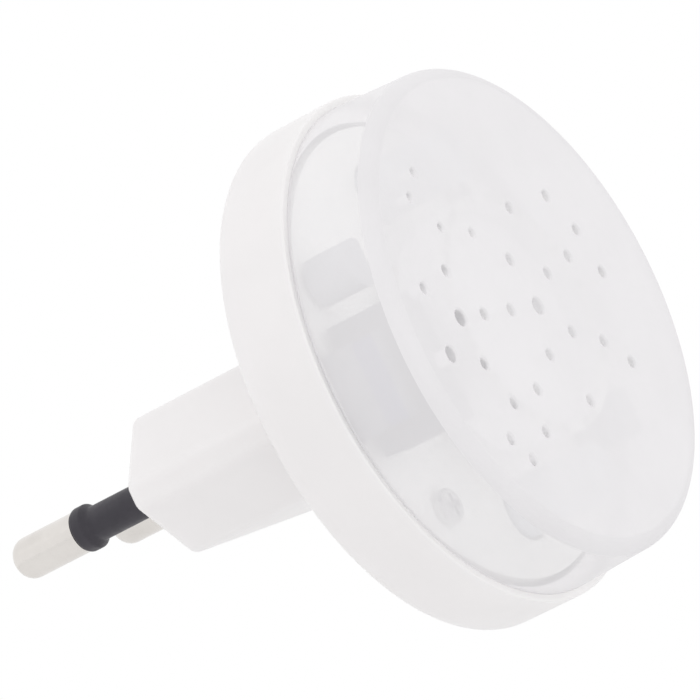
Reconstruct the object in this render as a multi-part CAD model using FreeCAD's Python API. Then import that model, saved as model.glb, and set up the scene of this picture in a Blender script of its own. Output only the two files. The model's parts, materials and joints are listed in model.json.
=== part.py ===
"""Plug-in ultrasonic pest repeller: a two-pin mains plug on a round two-shell case.

Every piece is built standing on the plug's end face, with z running forward out of the wall,
x to the right and y up.  save() then lays it down: the pins point along +Y into the socket,
the front cap faces -Y and +Z is up.  The origin is the middle of the plug's end face.
All sizes are in millimetres.
"""
import math
import os

import FreeCAD, Part

os.makedirs("parts", exist_ok=True)

# ---- mains plug -------------------------------------------------------------------------
PIN_DIAMETER = 4.0
PIN_LENGTH = 19.0
PIN_SPACING = 18.6           # at the end face
PIN_TOE_IN = 1.5             # degrees that each pin leans towards the other
PIN_TIP_ROUND = 1.5
PIN_NECK_DIAMETER = 2.6      # under the sleeve and inside the plug
PIN_FLANGE_DIAMETER = 5.2
PIN_FLANGE_THICKNESS = 1.0
PIN_TAIL_LENGTH = 5.0        # behind the flange
SLEEVE_LENGTH = 11.2         # from the end face
SLEEVE_DIAMETER = 3.4        # between the collar and the flare
SLEEVE_COLLAR_DIAMETER = 4.36
SLEEVE_COLLAR_LENGTH = 1.3
SLEEVE_COLLAR_ROUND = 0.3
SLEEVE_FLARE_DIAMETER = 4.6  # at the plug's end face and through its end wall
SLEEVE_FLARE_LENGTH = 1.7
SLEEVE_FLARE_STEPS = 6       # facets of the flare

BLOCK_LENGTH = 19.5
BLOCK_WIDTH = 35.0
BLOCK_HEIGHT = 13.4
BLOCK_SLANT = 5.6            # how much each corner is cut away along x and along y
BLOCK_EDGE_ROUND = 1.2
BLOCK_END_ROUND = 0.9
BLOCK_WALL = 1.9
BLOCK_END_WALL = 2.0
CARRIER_THICKNESS = 4.6
LATCH_WIDTH = 6.0
LATCH_DEPTH = 0.5
LATCH_LENGTH = 1.2

# ---- case -------------------------------------------------------------------------------
CUP_RADIUS = 24.9
CUP_DEPTH = 8.3
CUP_WALL = 2.0
CUP_FLOOR = 1.8
CUP_BACK_ROUND = 2.0
LIP_THICKNESS = 0.7          # of the rim that stands outside the cap
LIP_HEIGHT = 1.6
CAP_RISE = 9.0               # that shows in front of the cup
CAP_WALL = 1.4
CAP_FACE = 1.4
CAP_DRAFT = 0.5              # radius lost between the seat and the face
CAP_CORNER_ROUND = 1.4

# ---- fastening --------------------------------------------------------------------------
SCREW_OFFSET = 15.7          # of each case screw from the axis, up and down
SCREW_DIAMETER = 2.8
SCREW_LENGTH = 11.0
SCREW_HEAD_DIAMETER = 5.2
SCREW_HEAD_HEIGHT = 1.7
SCREW_RECESS_DEPTH = 2.4
PILLAR_DIAMETER = 8.2
PILLAR_HEIGHT = 3.0
POST_DIAMETER = 5.5
POST_BORE_MARGIN = 1.0       # of the bore past the tip of the screw

# ---- sound holes in the face: radius of the ring, places round it, pierced places -------
HOLE_DIAMETER = 1.0
HOLE_FINE = 0.75
HOLE_WIDE = 1.5
HOLE_MOUTH = 0.22            # chamfer
HOLE_TURN = -5.0             # degrees that the rings are turned from the level
HOLE_RINGS = (
    (4.9, 5, (0, 1, 2, 3, 4)),
    (9.7, 7, (0, 1, 2, 3, 4, 5, 6)),
    (13.8, 19, (0, 1, 2, 7, 8, 9, 11, 16, 17, 18)),
    (18.1, 36, (1, 4, 5, 31, 32, 35)),
)
WIDE_PLACES = ((13.8, 0), (18.1, 35))
FINE_PLACES = ((9.7, 1), (13.8, 2), (18.1, 4), (18.1, 5))

# ---- circuit board ----------------------------------------------------------------------
BOARD_RADIUS = 22.2
BOARD_THICKNESS = 1.6
BOARD_STAND = 3.7            # of its back above the cup's floor
REST_DIAMETER = 4.6
REST_RADIUS = 18.6           # of the rests from the axis
BOARD_SCREW_DIAMETER = 1.8
BOARD_SCREW_LENGTH = 4.4
BOARD_SCREW_HEAD = 3.4
BOARD_SCREW_HEAD_HEIGHT = 1.2
LEAD_DIAMETER = 0.6
LEAD_TAIL = 0.8              # past the board
SOLDER_DIAMETER = 1.7

# ---- transducer behind the face ---------------------------------------------------------
FOAM_THICKNESS = 0.6
HORN_RADIUS = 11.7
HORN_STAND = 3.4             # of its back off the board
HORN_WALL = 0.9
HORN_LEDGE = 1.0
DIAPHRAGM_THICKNESS = 0.25
DIAPHRAGM_SET_BACK = 1.6     # behind the horn's rim
CERAMIC_RADIUS = 7.5
CERAMIC_THICKNESS = 0.25
SOUND_WIRE_DIAMETER = 1.0
CERAMIC_WIRE_OFFSET = 5.0
DIAPHRAGM_WIRE_OFFSET = 8.7

# ---- step-up transformer beside it ------------------------------------------------------
CORE_HEIGHT = 12.4           # up and down the board
CORE_FACE_GAP = 0.8          # to the inside of the cap's face
CORE_THICKNESS = 5.0
CORE_LEG = 2.0
CORE_MIDDLE_LEG = 2.8
CORE_X = -17.7
CORE_Y = -1.0
CORE_STAND = 1.0
COIL_WIDTH = 7.6
BOBBIN_WALL = 0.35
BOBBIN_PIN_PITCH = 3.2

# ---- mains parts that hang behind the board, inside the plug ----------------------------
FILM_WIDTH = 8.0
FILM_HEIGHT = 6.0
FILM_LENGTH = 11.0
FILM_X = -4.6
FILM_LEAD_PITCH = 5.0
CAN_DIAMETER = 8.0
CAN_LENGTH = 11.0
CAN_X = 4.6
CAN_LEAD_PITCH = 2.6
CAN_SLEEVE_WALL = 0.15
CAN_SEAL_THICKNESS = 1.4
PART_STAND = 0.3             # of a body off the board
MAINS_WIRE_DIAMETER = 1.5
MAINS_WIRE_X = 10.9
MAINS_WIRE_Y = 1.8

# ---- clearances -------------------------------------------------------------------------
FIT_GAP = 0.1                # between pieces that slip together
BOARD_HOLE_GAP = 0.35        # round the cap's posts

# ---- stations along z that follow from the sizes above ----------------------------------
CUP_BACK = BLOCK_LENGTH
CUP_INSIDE = CUP_BACK + CUP_FLOOR
CUP_FRONT = CUP_BACK + CUP_DEPTH
CAP_SEAT = CUP_FRONT - LIP_HEIGHT
CAP_FRONT = CUP_FRONT + CAP_RISE
CAP_INSIDE = CAP_FRONT - CAP_FACE
CAP_RADIUS = CUP_RADIUS - LIP_THICKNESS - FIT_GAP
BOARD_BACK = CUP_INSIDE + BOARD_STAND
BOARD_FRONT = BOARD_BACK + BOARD_THICKNESS
PILLAR_TOP = CUP_INSIDE + PILLAR_HEIGHT
HORN_FRONT = CAP_INSIDE - FOAM_THICKNESS
HORN_BACK = BOARD_FRONT + HORN_STAND
DIAPHRAGM_BACK = HORN_FRONT - DIAPHRAGM_SET_BACK - DIAPHRAGM_THICKNESS
CORE_BACK = BOARD_FRONT + CORE_STAND
CORE_DEPTH = CAP_INSIDE - CORE_FACE_GAP - CORE_BACK

V = FreeCAD.Vector
FORWARD = V(0, 0, 1)


# ---- shapes -----------------------------------------------------------------------------
def disc(radius, low, high, x=0.0, y=0.0):
    """Round bar along z between two stations."""
    return Part.makeCylinder(radius, high - low, V(x, y, low), FORWARD)


def cone(radius_low, radius_high, low, high, x=0.0, y=0.0):
    """Round bar along z that changes radius."""
    return Part.makeCone(radius_low, radius_high, high - low, V(x, y, low), FORWARD)


def brick(centre_x, centre_y, low, width, height, depth):
    """Box centred in x and y that starts at station low."""
    corner = V(centre_x - width / 2, centre_y - height / 2, low)
    return Part.makeBox(width, height, depth, corner)


def turned(outline):
    """Solid turned about z from (radius, z) corners."""
    corners = [V(radius, 0, z) for radius, z in outline]
    face = Part.Face(Part.makePolygon(corners + corners[:1]))
    return face.revolve(V(0, 0, 0), FORWARD, 360)


def round_ring(shape, radius, station, size):
    """Rounds the circular edge that lies at a radius and a station."""
    chosen = []
    for edge in shape.Edges:
        box = edge.BoundBox
        level = abs(box.ZMin - station) < 1e-4 and abs(box.ZMax - station) < 1e-4
        if level and abs(box.XMax - radius) < 1e-4:
            chosen.append(edge)
    return shape.makeFillet(size, chosen)


def plug_prism(width, height, slant, low, high, edge_round=0.0):
    """Flat eight-sided bar of the plug, with its long edges rounded."""
    half_w = width / 2
    half_h = height / 2
    quarter = [(half_w, half_h - slant), (half_w - slant, half_h)]
    corners = quarter + [(-x, y) for x, y in reversed(quarter)]
    corners += [(-x, -y) for x, y in corners]
    points = [V(x, y, low) for x, y in corners]
    prism = Part.Face(Part.makePolygon(points + points[:1])).extrude(V(0, 0, high - low))
    if edge_round > 0:
        long_edges = [e for e in prism.Edges if e.BoundBox.ZLength > (high - low) / 2]
        prism = prism.makeFillet(edge_round, long_edges)
    return prism


def inset_prism(inset, low, high, edge_round=0.0):
    """The plug's bar drawn in by an even wall on all sides."""
    slant = BLOCK_SLANT - inset * (2 - math.sqrt(2))
    return plug_prism(BLOCK_WIDTH - 2 * inset, BLOCK_HEIGHT - 2 * inset, slant, low, high, edge_round)


def wire_along(points, diameter):
    """Round wire along straight runs that tangent arcs join."""
    edges = []
    start = points[0]
    for before, corner, after in zip(points, points[1:], points[2:]):
        run_in = (corner - before).normalize()
        run_out = (after - corner).normalize()
        shorter = min((corner - before).Length, (after - corner).Length)
        setback = 0.45 * shorter
        turn = run_in.getAngle(run_out)
        radius = setback / math.tan(turn / 2)
        arc_start = corner - run_in * setback
        arc_end = corner + run_out * setback
        to_centre = (run_out - run_in).normalize()
        middle = corner + to_centre * (radius / math.cos(turn / 2) - radius)
        edges.append(Part.LineSegment(start, arc_start).toShape())
        edges.append(Part.Arc(arc_start, middle, arc_end).toShape())
        start = arc_end
    edges.append(Part.LineSegment(start, points[-1]).toShape())
    path = Part.Wire(edges)
    section = Part.Wire(Part.makeCircle(diameter / 2, points[0], points[1] - points[0]))
    return path.makePipeShell([section], True, True)


def joined(shapes):
    """One solid from shapes that meet."""
    whole = shapes[0].fuse(shapes[1:]) if len(shapes) > 1 else shapes[0]
    return whole.removeSplitter()


def save(name, *shapes):
    """Lays the pieces down and writes them as one node."""
    group = Part.makeCompound(list(shapes)) if len(shapes) > 1 else shapes[0]
    laid = group.copy()
    laid.rotate(V(0, 0, 0), V(1, 0, 0), 90)
    laid.exportStep("parts/" + name + ".step")
    solids = laid.Solids
    print(name, len(solids), "solids", round(sum(s.Volume for s in solids), 2), laid.isValid())


# ---- pins -------------------------------------------------------------------------------
def on_pin(shape, side):
    """Moves a shape drawn about z on to the leaning axis of one pin (side -1 or 1)."""
    moved = shape.copy()
    moved.rotate(V(0, 0, 0), V(0, 1, 0), side * PIN_TOE_IN)
    moved.translate(V(side * PIN_SPACING / 2, 0, 0))
    return moved


def pin_point(side, station):
    """Point on the axis of a pin, measured along it from the end face."""
    lean = math.radians(PIN_TOE_IN)
    return V(side * (PIN_SPACING / 2 + station * math.sin(lean)), 0, station * math.cos(lean))


FLANGE_START = BLOCK_END_WALL + FIT_GAP
FLANGE_END = FLANGE_START + PIN_FLANGE_THICKNESS
TAIL_END = FLANGE_END + PIN_TAIL_LENGTH


def plug_pin():
    """Solid pin: round tip, neck for the sleeve, flange and tail inside the plug."""
    shaft = PIN_DIAMETER / 2
    neck = PIN_NECK_DIAMETER / 2
    flange = PIN_FLANGE_DIAMETER / 2
    outline = [(0, -PIN_LENGTH), (shaft, -PIN_LENGTH), (shaft, -SLEEVE_LENGTH)]
    outline += [(neck, -SLEEVE_LENGTH), (neck, FLANGE_START)]
    outline += [(flange, FLANGE_START), (flange, FLANGE_END)]
    outline += [(neck, FLANGE_END), (neck, TAIL_END), (0, TAIL_END)]
    return round_ring(turned(outline), shaft, -PIN_LENGTH, PIN_TIP_ROUND)


def pin_sleeve():
    """Insulating sleeve with a collar at its outer end, a waist and a flare at the plug."""
    neck = PIN_NECK_DIAMETER / 2
    waist = SLEEVE_DIAMETER / 2
    collar = SLEEVE_COLLAR_DIAMETER / 2
    collar_end = -SLEEVE_LENGTH + SLEEVE_COLLAR_LENGTH
    outline = [(neck, -SLEEVE_LENGTH), (collar, -SLEEVE_LENGTH), (collar, collar_end)]
    outline += [(waist, collar_end + (collar - waist))]
    spread = SLEEVE_FLARE_DIAMETER / 2 - waist
    for step in range(SLEEVE_FLARE_STEPS + 1):
        share = step / SLEEVE_FLARE_STEPS
        z = -SLEEVE_FLARE_LENGTH * (1 - share)
        outline.append((waist + spread * share * share, z))
    outline += [(waist + spread, FLANGE_START), (neck, FLANGE_START)]
    sleeve = turned(outline)
    return round_ring(sleeve, collar, -SLEEVE_LENGTH, SLEEVE_COLLAR_ROUND)


def pin_carrier():
    """Insulator that backs the pin flanges, clipped in behind the plug's end wall."""
    body = inset_prism(BLOCK_WALL + FIT_GAP, BLOCK_END_WALL, BLOCK_END_WALL + CARRIER_THICKNESS)
    for side in (-1, 1):
        body = body.cut(on_pin(disc(PIN_NECK_DIAMETER / 2, 0, 2 * TAIL_END), side))
        recess = disc(PIN_FLANGE_DIAMETER / 2 + FIT_GAP, 0, FLANGE_END)
        body = body.cut(on_pin(recess, side))
    return body


# ---- shells -----------------------------------------------------------------------------
def screw_places():
    """The two case screws, above and below the axis."""
    return [(0.0, SCREW_OFFSET), (0.0, -SCREW_OFFSET)]


def rest_places():
    """The four board rests on the diagonals; the first and third take a screw."""
    reach = REST_RADIUS / math.sqrt(2)
    return [(reach, reach), (-reach, reach), (-reach, -reach), (reach, -reach)]


def rear_housing():
    """Cup and hollow plug in one moulding."""
    cup = disc(CUP_RADIUS, CUP_BACK, CUP_FRONT)
    cup = round_ring(cup, CUP_RADIUS, CUP_BACK, CUP_BACK_ROUND)
    plug = plug_prism(BLOCK_WIDTH, BLOCK_HEIGHT, BLOCK_SLANT, 0, CUP_INSIDE, BLOCK_EDGE_ROUND)
    plug = plug.makeFillet(BLOCK_END_ROUND, [e for e in plug.Edges if e.BoundBox.ZMax < 1e-4])
    shell = joined([cup, plug])
    shell = shell.cut(disc(CUP_RADIUS - CUP_WALL, CUP_INSIDE, CUP_FRONT))
    shell = shell.cut(disc(CUP_RADIUS - LIP_THICKNESS, CAP_SEAT, CUP_FRONT))
    shell = shell.cut(inset_prism(BLOCK_WALL, BLOCK_END_WALL, CUP_INSIDE))
    bore = SLEEVE_FLARE_DIAMETER / 2 + FIT_GAP / 2
    for side in (-1, 1):
        shell = shell.cut(on_pin(disc(bore, -BLOCK_END_WALL, 2 * BLOCK_END_WALL), side))
    extras = [disc(PILLAR_DIAMETER / 2, CUP_INSIDE, PILLAR_TOP, x, y) for x, y in screw_places()]
    extras += [disc(REST_DIAMETER / 2, CUP_INSIDE, BOARD_BACK, x, y) for x, y in rest_places()]
    latch_start = BLOCK_END_WALL + CARRIER_THICKNESS
    latch_y = BLOCK_HEIGHT / 2 - BLOCK_WALL - LATCH_DEPTH / 2
    for up in (-1, 1):
        extras.append(brick(0, up * latch_y, latch_start, LATCH_WIDTH, LATCH_DEPTH, LATCH_LENGTH))
    shell = joined([shell] + extras)
    head_seat = CUP_BACK + SCREW_RECESS_DEPTH
    for x, y in screw_places():
        shell = shell.cut(disc(SCREW_HEAD_DIAMETER / 2 + 2 * FIT_GAP, CUP_BACK, head_seat, x, y))
        shell = shell.cut(disc(SCREW_DIAMETER / 2 + FIT_GAP, head_seat, PILLAR_TOP, x, y))
    pilot = BOARD_FRONT - BOARD_SCREW_LENGTH
    for x, y in rest_places()[::2]:
        shell = shell.cut(disc(BOARD_SCREW_DIAMETER / 2, pilot, BOARD_BACK, x, y))
    return shell


def hole_size(ring, place):
    """Diameter of one sound hole."""
    if (ring, place) in WIDE_PLACES:
        return HOLE_WIDE
    if (ring, place) in FINE_PLACES:
        return HOLE_FINE
    return HOLE_DIAMETER


def sound_holes():
    """Cutters for the scattered sound holes: x, y and diameter of each."""
    holes = [(0.0, 0.0, HOLE_WIDE)]
    for ring, places, pierced in HOLE_RINGS:
        for place in pierced:
            angle = math.radians(180 + HOLE_TURN - place * 360 / places)
            holes.append((ring * math.cos(angle), ring * math.sin(angle), hole_size(ring, place)))
    return holes


def screw_post_end():
    """Station where the screw's tip stops."""
    return CUP_BACK + SCREW_RECESS_DEPTH + SCREW_LENGTH


def front_cap():
    """Drafted cap with a flat pierced face and two screw posts."""
    front = CAP_RADIUS - CAP_DRAFT
    outside = turned([(0, CAP_SEAT), (CAP_RADIUS, CAP_SEAT), (front, CAP_FRONT), (0, CAP_FRONT)])
    outside = round_ring(outside, front, CAP_FRONT, CAP_CORNER_ROUND)
    inner = CAP_RADIUS - CAP_WALL
    hollow = cone(inner, inner - CAP_DRAFT, CAP_SEAT, CAP_INSIDE)
    cap = outside.cut(hollow)
    for x, y, size in sound_holes():
        cap = cap.cut(disc(size / 2, CAP_INSIDE, CAP_FRONT, x, y))
        mouth = cone(size / 2, size / 2 + HOLE_MOUTH, CAP_FRONT - HOLE_MOUTH, CAP_FRONT, x, y)
        cap = cap.cut(mouth)
    posts = [disc(POST_DIAMETER / 2, PILLAR_TOP, CAP_INSIDE, x, y) for x, y in screw_places()]
    cap = joined([cap] + posts)
    for x, y in screw_places():
        bore_end = screw_post_end() + POST_BORE_MARGIN
        cap = cap.cut(disc(SCREW_DIAMETER / 2, PILLAR_TOP, bore_end, x, y))
    return cap


def screw(x, y, seat, diameter, length, head_diameter, head_height, towards):
    """Cross-head screw whose head sits at a station and whose shank runs towards -1 or 1."""
    head = disc(head_diameter / 2, 0, head_height)
    head = round_ring(head, head_diameter / 2, 0, head_height * 0.45)
    shank = disc(diameter / 2, head_height, head_height + length - diameter / 2)
    tip_start = head_height + length - diameter / 2
    tip = cone(diameter / 2, diameter / 8, tip_start, head_height + length)
    body = joined([head, shank, tip])
    slot_width = head_diameter * 0.15
    slot_span = head_diameter * 0.6
    for width, height in ((slot_width, slot_span), (slot_span, slot_width)):
        body = body.cut(brick(0, 0, 0, width, height, head_height * 0.6))
    body.translate(V(0, 0, -head_height))
    if towards < 0:
        body.rotate(V(0, 0, 0), V(1, 0, 0), 180)
    body.translate(V(x, y, seat))
    return body


# ---- circuit board and what is soldered to it -------------------------------------------
def leads(places, low, high, diameter=LEAD_DIAMETER):
    """Straight round leads at board places."""
    return [disc(diameter / 2, low, high, x, y) for x, y in places]


def pair(x, y, pitch, upright=False):
    """Two lead places either side of a point."""
    if upright:
        return [(x, y - pitch / 2), (x, y + pitch / 2)]
    return [(x - pitch / 2, y), (x + pitch / 2, y)]


def solder_front(places):
    """Solder cones on the front of the board, round leads that come from behind."""
    made = []
    top = BOARD_FRONT + LEAD_TAIL
    for x, y in places:
        bead = cone(SOLDER_DIAMETER / 2, LEAD_DIAMETER / 2 + 0.05, BOARD_FRONT, top - 0.1, x, y)
        made.append(bead.cut(disc(LEAD_DIAMETER / 2, BOARD_FRONT, top, x, y)))
    return made


def solder_back(places, diameter=LEAD_DIAMETER):
    """Solder cones on the back of the board, round leads that come from the front."""
    made = []
    end = BOARD_BACK - LEAD_TAIL
    wide = diameter / 2 + (SOLDER_DIAMETER - LEAD_DIAMETER) / 2
    for x, y in places:
        bead = cone(diameter / 2 + 0.05, wide, end + 0.1, BOARD_BACK, x, y)
        made.append(bead.cut(disc(diameter / 2, end, BOARD_BACK, x, y)))
    return made


FILM_LEADS = pair(FILM_X, 0, FILM_LEAD_PITCH)
CAN_LEADS = pair(CAN_X, 0, CAN_LEAD_PITCH)
SOUND_LEADS = [(0.0, CERAMIC_WIRE_OFFSET), (0.0, -DIAPHRAGM_WIRE_OFFSET)]

FUSE_X = 0.0
FUSE_Y = 9.8
FUSE_DIAMETER = 2.6
FUSE_LENGTH = 7.0
FUSE_LEAD_PITCH = 11.0
FUSE_LEADS = pair(FUSE_X, FUSE_Y, FUSE_LEAD_PITCH)

VARISTOR_X = 8.2
VARISTOR_Y = -9.9
VARISTOR_DIAMETER = 5.6
VARISTOR_THICKNESS = 3.0
VARISTOR_LEAD_PITCH = 10.0
VARISTOR_LEADS = pair(VARISTOR_X, VARISTOR_Y, VARISTOR_LEAD_PITCH)

TRANSISTOR_RADIUS = 2.3
TRANSISTOR_FLAT = 1.2
TRANSISTOR_HEIGHT = 4.6
TRANSISTOR_STAND = 0.6
TRANSISTOR_PITCH = 1.9
TRANSISTOR_PLACES = ((-17.0, 9.4), (16.2, -11.2))

LED_X = 16.4
LED_Y = 0.0
LED_RADIUS = 1.5
LED_HEIGHT = 4.0
LED_FLANGE = 0.4
LED_STAND = 1.0
LED_PITCH = 1.27
LED_LEADS = pair(LED_X, LED_Y, 2 * LED_PITCH, upright=True)

RADIAL_X = 16.2
RADIAL_Y = 8.2
RADIAL_RADIUS = 2.0
RADIAL_HEIGHT = 5.4
RADIAL_PITCH = 1.6
RADIAL_LEADS = pair(RADIAL_X, RADIAL_Y, RADIAL_PITCH)

CHIP_X = -4.2
CHIP_Y = -4.2
CHIP_WIDTH = 3.9
CHIP_LENGTH = 4.9
CHIP_THICKNESS = 1.45
CHIP_PITCH = 1.27
CHIP_LEGS_PER_SIDE = 4
CHIP_STAND = 0.15
RECTIFIER_X = 4.2
RECTIFIER_Y = 4.4
RECTIFIER_WIDTH = 3.8
RECTIFIER_LENGTH = 4.7
RECTIFIER_THICKNESS = 2.0
RECTIFIER_PITCH = 2.54
LEG_WIDTH = 0.4
LEG_REACH = 1.0
LEG_THICKNESS = 0.2

CHIP_RESISTOR_PLACES = ((-4.4, 3.4), (-4.4, 5.6), (4.2, -3.4), (4.2, -5.6), (10.4, -4.0), (10.4, -6.2))
CHIP_CAPACITOR_PLACES = ((-4.4, 7.8), (4.2, -7.8))
CHIP_PART_LENGTH = 3.2
CHIP_PART_WIDTH = 1.6
CHIP_PART_THICKNESS = 0.6
CHIP_CAPACITOR_THICKNESS = 1.1
CHIP_END_LENGTH = 0.5


def bobbin_pins():
    """Board places of the transformer's four pins."""
    reach = COIL_WIDTH / 2 - LEAD_DIAMETER
    places = []
    for side in (-1, 1):
        places += pair(CORE_X + side * reach, CORE_Y, BOBBIN_PIN_PITCH, upright=True)
    return places


def transistor_leads():
    """Board places of the transistors' legs."""
    places = []
    for x, y in TRANSISTOR_PLACES:
        places += [(x, y + step * TRANSISTOR_PITCH) for step in (-1, 0, 1)]
    return places


def circuit_board():
    """Round board with a hole for every lead, post and screw."""
    board = disc(BOARD_RADIUS, BOARD_BACK, BOARD_FRONT)
    holes = FILM_LEADS + CAN_LEADS + FUSE_LEADS + VARISTOR_LEADS + LED_LEADS + RADIAL_LEADS
    holes = holes + bobbin_pins() + transistor_leads()
    cutters = leads(holes, BOARD_BACK, BOARD_FRONT)
    cutters += leads(SOUND_LEADS, BOARD_BACK, BOARD_FRONT, SOUND_WIRE_DIAMETER)
    clear = POST_DIAMETER / 2 + BOARD_HOLE_GAP
    cutters += [disc(clear, BOARD_BACK, BOARD_FRONT, x, y) for x, y in screw_places()]
    screw_hole = BOARD_SCREW_DIAMETER / 2 + FIT_GAP
    cutters += [disc(screw_hole, BOARD_BACK, BOARD_FRONT, x, y) for x, y in rest_places()[::2]]
    return board.cut(cutters)


def transformer():
    """Core halves, bobbin, coil and pins of the step-up transformer."""
    middle = CORE_BACK + CORE_DEPTH / 2
    window_height = CORE_DEPTH - 2 * CORE_LEG
    window_width = (CORE_HEIGHT - 2 * CORE_LEG - CORE_MIDDLE_LEG) / 2
    core = brick(CORE_X, CORE_Y, CORE_BACK, CORE_THICKNESS, CORE_HEIGHT, CORE_DEPTH)
    window_low = middle - window_height / 2
    for side in (-1, 1):
        y = CORE_Y + side * (CORE_MIDDLE_LEG + window_width) / 2
        core = core.cut(brick(CORE_X, y, window_low, CORE_THICKNESS, window_width, window_height))
    back_half = core.common(brick(CORE_X, CORE_Y, CORE_BACK, COIL_WIDTH, CORE_HEIGHT, CORE_DEPTH / 2))
    front_half = core.common(brick(CORE_X, CORE_Y, middle, COIL_WIDTH, CORE_HEIGHT, CORE_DEPTH / 2))
    leg_x = CORE_THICKNESS
    leg_y = CORE_MIDDLE_LEG
    wall = 2 * BOBBIN_WALL
    coil_height = CORE_HEIGHT - 2 * CORE_LEG - 2 * FIT_GAP
    tube = brick(CORE_X, CORE_Y, window_low, leg_x + wall, leg_y + wall, window_height)
    flange_back = brick(CORE_X, CORE_Y, window_low, COIL_WIDTH, coil_height, BOBBIN_WALL)
    flange_front = flange_back.copy()
    flange_front.translate(V(0, 0, window_height - BOBBIN_WALL))
    reach = COIL_WIDTH / 2 - CORE_THICKNESS / 2
    feet = []
    for side in (-1, 1):
        x = CORE_X + side * (CORE_THICKNESS + reach) / 2
        feet.append(brick(x, CORE_Y, BOARD_FRONT, reach, coil_height, window_low - BOARD_FRONT))
    bobbin = joined([tube, flange_back, flange_front] + feet)
    bobbin = bobbin.cut(brick(CORE_X, CORE_Y, window_low, leg_x, leg_y, window_height))
    bobbin = bobbin.cut(leads(bobbin_pins(), BOARD_FRONT, window_low))
    coil_low = window_low + BOBBIN_WALL
    coil_depth = window_height - 2 * BOBBIN_WALL
    coil = brick(CORE_X, CORE_Y, coil_low, COIL_WIDTH, coil_height, coil_depth)
    coil = coil.makeFillet(1.0, [e for e in coil.Edges if e.BoundBox.ZLength > coil_depth / 2])
    coil = coil.cut(brick(CORE_X, CORE_Y, coil_low, leg_x + wall, leg_y + wall, coil_depth))
    pins = leads(bobbin_pins(), BOARD_BACK - LEAD_TAIL, window_low)
    save("transformer_core", back_half, front_half)
    save("transformer_bobbin", bobbin)
    save("transformer_coil", coil)
    save("transformer_pins", *pins)


def transducer():
    """Horn cup, foam gasket, lacquered foil diaphragm with its ceramic disc, and two wires."""
    horn = disc(HORN_RADIUS, HORN_BACK, HORN_FRONT)
    horn = round_ring(horn, HORN_RADIUS, HORN_BACK, HORN_WALL / 2)
    inner = HORN_RADIUS - HORN_WALL
    horn = horn.cut(disc(inner, DIAPHRAGM_BACK, HORN_FRONT))
    horn = horn.cut(disc(inner - HORN_LEDGE, HORN_BACK + HORN_WALL, HORN_FRONT))
    wire_ends = (DIAPHRAGM_BACK - CERAMIC_THICKNESS, DIAPHRAGM_BACK)
    wires = []
    for (x, y), end in zip(SOUND_LEADS, wire_ends):
        wires.append(disc(SOUND_WIRE_DIAMETER / 2, BOARD_BACK - LEAD_TAIL, end, x, y))
        horn = horn.cut(disc(SOUND_WIRE_DIAMETER / 2 + FIT_GAP, HORN_BACK, HORN_FRONT, x, y))
    foam = disc(HORN_RADIUS, HORN_FRONT, CAP_INSIDE).cut(disc(inner, HORN_FRONT, CAP_INSIDE))
    diaphragm = disc(inner - FIT_GAP, DIAPHRAGM_BACK, DIAPHRAGM_BACK + DIAPHRAGM_THICKNESS)
    ceramic = disc(CERAMIC_RADIUS, DIAPHRAGM_BACK - CERAMIC_THICKNESS, DIAPHRAGM_BACK)
    save("transducer_horn", horn)
    save("transducer_gasket", foam)
    save("transducer_diaphragm", diaphragm)
    save("transducer_ceramic", ceramic)
    save("transducer_wires", *wires)


def capacitors():
    """Film capacitor and electrolytic capacitor that hang inside the plug."""
    top = BOARD_BACK - PART_STAND
    film = brick(FILM_X, 0, top - FILM_LENGTH, FILM_WIDTH, FILM_HEIGHT, FILM_LENGTH)
    film = film.makeFillet(0.5, film.Edges)
    save("film_capacitor", film)
    save("film_capacitor_leads", *leads(FILM_LEADS, top, BOARD_FRONT + LEAD_TAIL))
    radius = CAN_DIAMETER / 2
    low = top - CAN_LENGTH
    can = disc(radius - CAN_SLEEVE_WALL, low, top, CAN_X)
    seal = disc(radius - 3 * CAN_SLEEVE_WALL, top - CAN_SEAL_THICKNESS, top, CAN_X)
    can = can.cut(seal)
    sleeve = disc(radius, low, top, CAN_X).cut(disc(radius - CAN_SLEEVE_WALL, low, top, CAN_X))
    save("smoothing_capacitor_can", can)
    save("smoothing_capacitor_seal", seal)
    save("smoothing_capacitor_sleeve", sleeve)
    save("smoothing_capacitor_leads", *leads(CAN_LEADS, top, BOARD_FRONT + LEAD_TAIL))


def bent_leads(x, y, body_length, pitch, level, end):
    """Two leads that leave a lying body at its ends and turn into the board."""
    made = []
    for side in (-1, 1):
        start = V(x + side * body_length / 2, y, level)
        corner = V(x + side * pitch / 2, y, level)
        finish = V(x + side * pitch / 2, y, end)
        made.append(wire_along([start, corner, finish], LEAD_DIAMETER))
    return made


def lying_parts():
    """Fusible resistor and varistor that lie on the back of the board."""
    level = BOARD_BACK - PART_STAND - FUSE_DIAMETER / 2
    end = BOARD_FRONT + LEAD_TAIL
    start = V(FUSE_X - FUSE_LENGTH / 2, FUSE_Y, level)
    body = Part.makeCylinder(FUSE_DIAMETER / 2, FUSE_LENGTH, start, V(1, 0, 0))
    body = body.makeFillet(0.6, [e for e in body.Edges if e.BoundBox.XLength < 1e-4])
    save("fusible_resistor", body)
    fuse_leads = bent_leads(FUSE_X, FUSE_Y, FUSE_LENGTH, FUSE_LEAD_PITCH, level, end)
    save("fusible_resistor_leads", *fuse_leads)
    level = BOARD_BACK - PART_STAND - VARISTOR_THICKNESS / 2
    low = BOARD_BACK - PART_STAND - VARISTOR_THICKNESS
    body = disc(VARISTOR_DIAMETER / 2, low, low + VARISTOR_THICKNESS, VARISTOR_X, VARISTOR_Y)
    body = body.makeFillet(0.8, [e for e in body.Edges if e.BoundBox.ZLength < 1e-4])
    save("varistor", body)
    varistor_leads = bent_leads(
        VARISTOR_X, VARISTOR_Y, VARISTOR_DIAMETER, VARISTOR_LEAD_PITCH, level, end)
    save("varistor_leads", *varistor_leads)


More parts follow.
